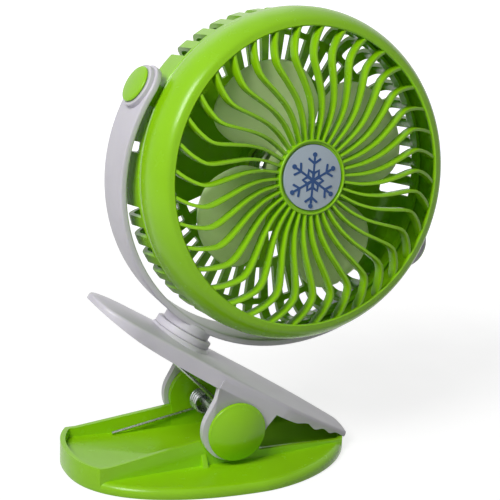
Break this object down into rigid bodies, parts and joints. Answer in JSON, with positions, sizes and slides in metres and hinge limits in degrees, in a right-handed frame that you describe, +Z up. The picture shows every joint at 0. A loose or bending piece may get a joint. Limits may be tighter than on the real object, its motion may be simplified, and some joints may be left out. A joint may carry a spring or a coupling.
{
  "type": "clip-on fan",
  "caption": "Small clip-on fan: a round caged fan head tilts in a C-shaped yoke, which swivels on a spring clip with an egg-shaped base.",
  "frame": {"origin": "on the table, straight below the clip's hinge pin, at the middle of the base", "axes": "+Z up, +X towards the clip's mouth, -Y the side that the fan blows to"},
  "size_m": [0.1709, 0.0916, 0.2036],
  "materials": {
    "green_plastic": "glossy moulded plastic",
    "white_plastic": "satin moulded plastic",
    "steel": "plain zinc-coated steel",
    "brass": "sintered bushing",
    "nylon": "matt nylon",
    "badge_plastic": "glossy disc with a snow crystal",
    "clear_plastic": "pale translucent plastic",
    "magnet": "dull ferrite",
    "copper_winding": "wound core",
    "cell_sleeve": "shrink sleeve round a cell",
    "circuit_resin": "coated circuit board",
    "dark_plastic": "black moulded plastic"
  },
  "bodies": {
    "clip_base": {"lower_jaw": "green_plastic", "hinge_pin": "steel", "torsion_spring": "steel"},
    "upper_clip": {"upper_jaw": "white_plastic", "hinge_cap_near": "green_plastic", "hinge_cap_far": "green_plastic", "swivel_collar": "white_plastic"},
    "yoke_arm": {"yoke": "white_plastic", "swivel_washer": "steel", "swivel_screw": "steel", "pivot_pin_left": "steel", "pivot_pin_right": "steel", "pivot_washer_left": "nylon", "pivot_washer_right": "nylon", "pivot_cap_left": "green_plastic", "pivot_cap_right": "green_plastic"},
    "head": {"front_grille": "green_plastic", "hub_badge": "badge_plastic", "rear_grille": "green_plastic", "motor_can": "steel", "motor_end_cap": "nylon", "motor_bushing": "brass", "motor_magnet_left": "magnet", "motor_magnet_right": "magnet", "motor_screw_left": "steel", "motor_screw_right": "steel", "rear_housing": "green_plastic", "battery_cover": "green_plastic", "cover_screw": "steel", "battery_cell": "cell_sleeve", "battery_spring": "steel", "battery_contact_plus": "steel", "battery_contact_minus": "steel", "circuit_board": "circuit_resin", "tact_switch": "dark_plastic", "power_lens": "clear_plastic", "usb_socket": "steel", "housing_screw_1": "steel", "housing_screw_2": "steel", "housing_screw_3": "steel", "housing_screw_4": "steel"},
    "wheel": {"impeller": "clear_plastic", "motor_shaft": "steel", "motor_armature": "copper_winding"},
    "button": {"speed_button": "white_plastic"}
  },
  "joints": [
    {"name": "jaw_hinge", "type": "hinge", "parent": "clip_base", "child": "upper_clip", "pos_m": [0, 0, 0.021], "axis": [0, -1, 0], "range_deg": [0, 30], "stiffness_Nm_per_rad": 0.8, "springref_deg": -45.84},
    {"name": "neck_swivel", "type": "hinge", "parent": "upper_clip", "child": "yoke_arm", "pos_m": [-0.01707, 0, 0.05879], "axis": [0.5299, 0, 0.848], "continuous": true},
    {"name": "head_tilt", "type": "hinge", "parent": "yoke_arm", "child": "head", "pos_m": [0.02771, 0, 0.13045], "axis": [0.848, 0, -0.5299], "range_deg": [-80, 100]},
    {"name": "fan_spin", "type": "hinge", "parent": "head", "child": "wheel", "pos_m": [0.02771, 0, 0.13045], "axis": [0.092, -0.9848, 0.1473], "continuous": true},
    {"name": "button_press", "type": "slide", "parent": "head", "child": "button", "axis": [0.092, -0.9848, 0.1473], "range_m": [0, 0.0008], "stiffness_N_per_m": 800, "springref_m": -0.0003}
  ]
}
